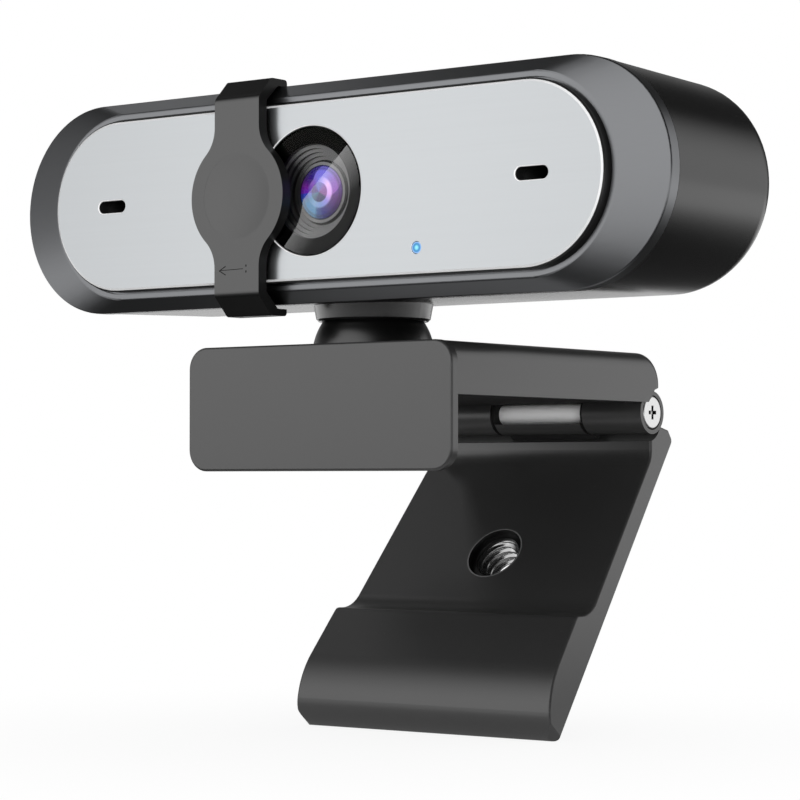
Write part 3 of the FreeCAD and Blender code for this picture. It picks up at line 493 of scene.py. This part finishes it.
def baffleFinish():
    material, tree, shader = newFinish("baffleGrey", {
        "Roughness": baffle["roughness"], "Specular IOR Level": baffle["specular"]})
    radius, turn = radialFrom(tree, lensCentre)
    # risers are painted dark, as shade; treads keep the pale
    tread = between(tree, facing(tree), *baffle["tread"])
    near, far = baffle["border"]
    inside = between(tree, radius, near * mm, far * mm, 1.0, 0.0)
    turned = calc(tree, "ABSOLUTE", calc(tree, "SUBTRACT", turn, 0.5))
    # a painted shadow darkens the left side
    side = between(tree, turned, *baffle["left"], 1.0, baffle["leftShadowShare"])
    share = calc(tree, "MULTIPLY", calc(tree, "MULTIPLY", tread, inside), side)
    tone = ramp(tree, share, [(0.0, baffle["dark"]), (1.0, baffle["pale"])])
    feed(tree, shader, {"Base Color": tone})
    return material


finishes["lensPaintedReflections"] = lensReflectionFinish()
finishes["windowGlass"] = windowFinish()
finishes["ledBlue"] = ledFinish()
finishes["baffleGrey"] = baffleFinish()
print("finishes made:", len(finishes))

# which CAD nodes wear each finish; the rest are plain black inside parts
wearers = {
    "shellBlack": ["rear_shell"],
    "bezelGrey": ["front_bezel"],
    "plateSilver": ["face_plate"],
    "windowGlass": ["lens_window"],
    "baffleGrey": ["lens_baffle", "lens_barrel"],
    "lensPaintedReflections": ["front_lens"],
    "ledBlue": ["status_led", "light_pipe"],
    "coverGrey": ["privacy_cover"],
    "clipGrey": ["clip_arm", "clip_front_plate"],
    "legGrey": ["clip_leg"],
    "ballBlack": ["swivel_ball"],
    "collarGrey": ["neck_collar"],
    "pinSteel": ["hinge_pin", "tilt_stud", "tilt_nut", "tilt_spring", "tilt_dish"],
    "crossSteel": ["hinge_screw"],
    "screwSteel": ["board_screws", "collar_screws"],
    "insertSteel": ["tripod_insert"],
    "padRubber": ["top_pad", "lip_pad", "mic_gasket_left", "mic_gasket_right"],
    "boardGreen": ["main_board"],
    "socketWhite": ["cable_socket"],
}
wear = {node: finish for finish, worn in wearers.items() for node in worn}
for name, node in nodes.items():
    for slot in node.material_slots:
        slot.material = finishes[wear.get(name, "plainBlack")]
print("nodes dressed:", len(nodes))

# New pieces: each is a surface worked out on a grid that closes on itself both ways.


def gridPiece(name, points, finish):  # points[row, column]
    rows, columns = points.shape[:2]
    row, column = np.arange(rows)[:, None], np.arange(columns)[None, :]
    nextRow, nextColumn = (row + 1) % rows, (column + 1) % columns
    faces = np.stack(np.broadcast_arrays(
        row * columns + column, nextRow * columns + column,
        nextRow * columns + nextColumn, row * columns + nextColumn), axis=-1).reshape(-1, 4)
    mesh = bpy.data.meshes.new(name)
    mesh.vertices.add(rows * columns)
    mesh.vertices.foreach_set("co", points.reshape(-1).astype(np.float32))
    mesh.loops.add(faces.size)
    mesh.loops.foreach_set("vertex_index", faces.reshape(-1).astype(np.int32))
    mesh.polygons.add(len(faces))
    mesh.polygons.foreach_set("loop_start", np.arange(0, faces.size, 4, dtype=np.int32))
    mesh.update(calc_edges=True)
    mesh.validate()
    piece = bpy.data.objects.new(name, mesh)
    bpy.context.scene.collection.objects.link(piece)
    mesh.materials.append(finishes[finish])
    return piece


def fullTurn(steps):  # angles all round, one to a row
    return np.linspace(0, 2 * np.pi, steps, endpoint=False)[:, None]


thread = {
    "pitch": 1.27,       # 1/4-20 tripod thread, mm
    "depth": 0.58,       # crest over root
    "steep": 1.5,        # slope of the flanks, 1 for a plain zigzag
    "leadIn": 0.35,      # the thread fades over this at both ends
    "rim": 0.1,          # chamfer between bore and end face
    "around": 120,       # rows, and columns to one pitch
    "perTurn": 20,
}


def makeThreadSleeve():
    # The bore's radius is the root's less a flat-topped wave of the turn and the way along, so its
    # crest runs as a helix; the outside is a plain cylinder, and both end faces close the sleeve.
    low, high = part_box("tripod_insert")
    mount = mounts["tripod_thread"]
    axis = Vector(mount["axis"]).normalized()
    root, length = mount["dims"]["r_mm"], mount["dims"]["length_mm"]
    outer = (high[0] - low[0]) / 2 / mm
    rim, steep = thread["rim"], thread["steep"]
    steps = int(thread["perTurn"] * length / thread["pitch"])
    place = np.linspace(rim, length - rim, steps)[None, :]
    turn = fullTurn(thread["around"])
    wave = np.abs(((place / thread["pitch"] + turn / (2 * np.pi)) % 1.0) * 2 - 1)
    crest = np.clip(wave * steep - (steep - 1) / 2, 0, 1)
    fading = np.clip((np.minimum(place, length - place) - rim) / thread["leadIn"], 0, 1)
    bore = root - thread["depth"] * crest * fading
    ends = np.ones_like(turn)
    mouth, edge = ends * (root + rim), ends * outer
    radius = np.hstack([mouth, bore, mouth, edge, edge])[..., None] * mm
    along = np.hstack([ends * 0.0, np.broadcast_to(place, bore.shape),
                       ends * length, ends * length, ends * 0.0])[..., None] * mm
    right, side = np.array((1.0, 0.0, 0.0)), np.array(axis.cross(Vector((1, 0, 0))))
    outwards = np.cos(turn)[..., None] * right + np.sin(turn)[..., None] * side
    points = np.array(mount["pos_m"]) - np.array(axis) * along + radius * outwards
    piece = gridPiece("thread_sleeve", points, "threadSteel")
    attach(piece, "leg")
    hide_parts("tripod_insert")


makeThreadSleeve()
print("thread sleeve made")

dimple = {
    "radius": 5.85,      # of the finger dimple in the cover, mm
    "depth": 0.25,
    "reach": 4.9,        # the blend runs in over this much
    "tuck": 0.4,         # and on at both ends, just under the faces that it joins,
    "under": 0.004,      # by this
    "steps": 18,
    "around": 160,
}


def makeDimpleBlend():
    # A shallow dish: its depth grows as 1 - (1 - t)^2 from the dimple's edge (t 0) to near its
    # middle (t 1). Both ends run on under the faces that they join. A straight back closes it.
    low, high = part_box("privacy_cover")
    centreX, centreZ = (low[0] + high[0]) / 2, (low[2] + high[2]) / 2
    reach, tuck, depth = dimple["reach"], dimple["tuck"], dimple["depth"]
    inwards = np.linspace(-tuck, reach + tuck, dimple["steps"])
    sunk = dimple["under"] + depth * (1 - (1 - np.clip(inwards / reach, 0, 1)) ** 2)
    inwards = np.append(inwards, [reach + tuck, -tuck])[None, :]
    sunk = np.append(sunk, [depth + tuck, depth + tuck])[None, :]
    radius = (dimple["radius"] - inwards) * mm
    turn = fullTurn(dimple["around"])
    points = np.stack(np.broadcast_arrays(
        centreX + radius * np.cos(turn), low[1] + sunk * mm,
        centreZ + radius * np.sin(turn)), axis=-1)
    piece = gridPiece("dimple_blend", points, "coverGrey")
    for face in piece.data.polygons:
        face.use_smooth = True
    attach(piece, "cover")


makeDimpleBlend()
print("dimple blend made")

# slide mark: strokes as (from, to, width) in mm, from the cover's middle, right and up
slideMark = {
    "strokes": [((-1.95, -9.4), (-3.05, -9.97), 0.13), ((-3.05, -9.97), (-1.95, -10.55), 0.13),
                ((-2.8, -9.93), (1.15, -9.85), 0.09), ((1.7, -9.4), (1.7, -9.5), 0.22),
                ((1.7, -10.2), (1.7, -10.3), 0.22)],
    "deep": 0.12,        # of the inlay, mm; it stands this far proud:
    "proud": 0.003,
    "closing": 0.02,     # share of its width to which a stroke's outer rings shrink
    "corners": 8,        # points round each of its ends
}


def makeSlideMark():
    # Each stroke is a loft between rings: a ring is the stroke's outline, half a circle round each
    # of its ends. The rings lie at the back and the front, in full and shrunk to nearly a line.
    low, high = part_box("privacy_cover")
    centre = np.array([(low[0] + high[0]) / 2, (low[2] + high[2]) / 2])
    back, front = low[1] + slideMark["deep"] * mm, low[1] - slideMark["proud"] * mm
    closing = slideMark["closing"]
    rings = [(closing, back), (1.0, back), (1.0, front), (closing, front)]
    half = np.linspace(-np.pi / 2, np.pi / 2, slideMark["corners"])
    for number, (start, end, width) in enumerate(slideMark["strokes"], 1):
        start, end = np.array(start) * mm + centre, np.array(end) * mm + centre
        heading = math.atan2(*(end - start)[::-1])
        spine = np.concatenate([np.tile(end, (len(half), 1)), np.tile(start, (len(half), 1))])
        turn = np.concatenate([half, half + np.pi]) + heading
        reach = width / 2 * mm * np.stack([np.cos(turn), np.sin(turn)], axis=-1)
        flat = np.stack([spine + share * reach for share, _ in rings], axis=1)
        depth = np.broadcast_to(np.array([place for _, place in rings]), flat.shape[:2])
        points = np.stack([flat[..., 0], depth, flat[..., 1]], axis=-1)
        piece = gridPiece("slide_mark_%d" % number, points, "markBlack")
        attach(piece, "cover")


makeSlideMark()
print("slide mark made")

# The stage: floor, backdrop, lamps and camera. Distances are in metres.
floorLook = {
    "reach": 4.0,
    "height": cadBox[0][2],
    "colour": (0.85, 0.85, 0.85, 1),
    "roughness": 0.9,
    "share": 0.14,              # how much of its look is lit, next to the object; the rest is white
    "fade": (0.03, 0.12),       # where that share starts and ends to run out
    "under": 0.3,               # level under the object, as glossy surfaces show it: a painted pool of light
    "underLightFade": (0.06, 0.1),   # where it falls to the next
    "around": 0.05,             # level round the object, as glossy surfaces show it: a painted shadow
    "aroundShadowFade": (0.15, 0.4),  # where that turns white
}
studio = {
    "dim": 0.03,                # the backdrop's level between its cards, as glossy surfaces show it
    "fill": 0.85,               # what matt surfaces get from it
}
# soft cards in the backdrop: where they are, degrees at full level, degrees where they end, level
cards = {
    "rightBehind": ((0.57, 0.81, 0.05), 8, 38, 0.77),
    "leftAhead": ((-0.22, -0.97, 0.0), 26, 62, 1.08),
    "leftBehind": ((-0.8, 0.6, 0.05), 15, 50, 0.2),
}
# lamps: direction from their target, width and height, level, whether glossy surfaces show them
lamps = {
    "platePanel": ((-0.60, -0.79, 0.1), (0.1, 0.3), 0.35, True),
    "upperLeftPanel": ((-0.66, -0.05, 0.75), (0.12, 0.12), 1.0, True),
    "mattPanel": ((0.75, -0.6, 0.1), (0.4, 0.4), 7.5, False),
}
lampTarget = (0, 0, 0.01)
lampDistance = 0.9
lampPower = 4                   # watts for a square metre at level 1


def rays(tree):  # whether a ray comes straight from the camera, and whether from a glossy surface
    path = put(tree, "ShaderNodeLightPath").outputs
    return path["Is Camera Ray"], calc(tree, "MAXIMUM", path["Is Glossy Ray"],
                                       path["Is Transmission Ray"])


def makeFloor():
    reach, height = floorLook["reach"], floorLook["height"]
    corners = [(-reach, -reach), (reach, -reach), (reach, reach), (-reach, reach)]
    mesh = bpy.data.meshes.new("floor")
    mesh.from_pydata([(x, y, height) for x, y in corners], [], [(0, 1, 2, 3)])
    floor = bpy.data.objects.new("floor", mesh)
    bpy.context.scene.collection.objects.link(floor)
    material, tree, shader = newFinish("paleFloor", {
        "Base Color": floorLook["colour"], "Roughness": floorLook["roughness"],
        "Specular IOR Level": 0.0})
    away = vectorCalc(tree, "LENGTH", objectPlace(tree))
    straight, mirrored = rays(tree)
    seen = between(tree, away, *floorLook["fade"], 1 - floorLook["share"], 1.0, "SMOOTHSTEP")
    # as glossy surfaces see it, the floor is dark round the object, a painted shadow, and paler
    # right under it, a painted pool of light; far off it is white
    around = between(tree, away, *floorLook["aroundShadowFade"], floorLook["around"], 1.0, "SMOOTHSTEP")
    under = between(tree, away, *floorLook["underLightFade"], floorLook["under"], 0.0, "SMOOTHSTEP")
    plain = calc(tree, "MAXIMUM", calc(tree, "MULTIPLY", straight, seen), mirrored)
    level = mixValues(tree, mirrored, 1.0, calc(tree, "MAXIMUM", around, under))
    white = put(tree, "ShaderNodeEmission", {"Strength": level})
    blend = put(tree, "ShaderNodeMixShader", {0: plain, 1: shader.outputs[0], 2: white.outputs[0]})
    feed(tree, tree.nodes["Material Output"], {"Surface": blend.outputs[0]})
    mesh.materials.append(material)


def makeBackdrop():
    world = bpy.data.worlds.new("studio")
    bpy.context.scene.world = world
    world.use_nodes = True
    tree = world.node_tree
    way = put(tree, "ShaderNodeTexCoord").outputs["Generated"]
    level = studio["dim"]
    for toward, full, none, strength in cards.values():
        close = vectorCalc(tree, "DOT_PRODUCT", way, tuple(Vector(toward).normalized()))
        near, far = (math.cos(math.radians(angle)) for angle in (none, full))
        card = between(tree, close, near, far, 0.0, strength, "SMOOTHSTEP")
        level = calc(tree, "ADD", card, level)
    straight, mirrored = rays(tree)
    lit = mixValues(tree, straight, mixValues(tree, mirrored, studio["fill"], level), 1.0)
    feed(tree, tree.nodes["Background"], {"Color": (1, 1, 1, 1), "Strength": lit})


def areaLamp(name, direction, size, level, glossy):
    lamp = bpy.data.lights.new(name, "AREA")
    lamp.shape = "RECTANGLE"
    lamp.size, lamp.size_y = size
    lamp.energy = lampPower * size[0] * size[1] * level
    holder = bpy.data.objects.new(name, lamp)
    holder.visible_glossy = glossy
    bpy.context.scene.collection.objects.link(holder)
    way = Vector(direction).normalized()
    turned = way.to_track_quat("Z", "Y").to_matrix().to_4x4()
    holder.matrix_world = Matrix.Translation(Vector(lampTarget) + lampDistance * way) @ turned


camera = {
    "place": (0.23386, -0.29997, -0.01126),
    "right": (0.7945, 0.6072, 0.0),
    "forward": (-0.607, 0.794, 0.0293),
    "lens": 124.83,        # mm, as is the next
    "sensor": 36.0,
    "clipStart": 0.01,
}


def makeCamera():
    data = bpy.data.cameras.new("camera")
    data.lens = camera["lens"]
    data.sensor_width = camera["sensor"]
    data.clip_start = camera["clipStart"]
    holder = bpy.data.objects.new("camera", data)
    bpy.context.scene.collection.objects.link(holder)
    back = -Vector(camera["forward"]).normalized()
    right = Vector(camera["right"]).normalized()
    turned = Matrix((right, back.cross(right), back)).transposed().to_4x4()
    turned.translation = camera["place"]
    holder.matrix_world = turned
    bpy.context.scene.camera = holder


makeFloor()
makeBackdrop()
for name, (direction, size, level, glossy) in lamps.items():
    areaLamp(name, direction, size, level, glossy)
makeCamera()
bpy.context.scene.view_settings.view_transform = "Standard"
print("stage set")
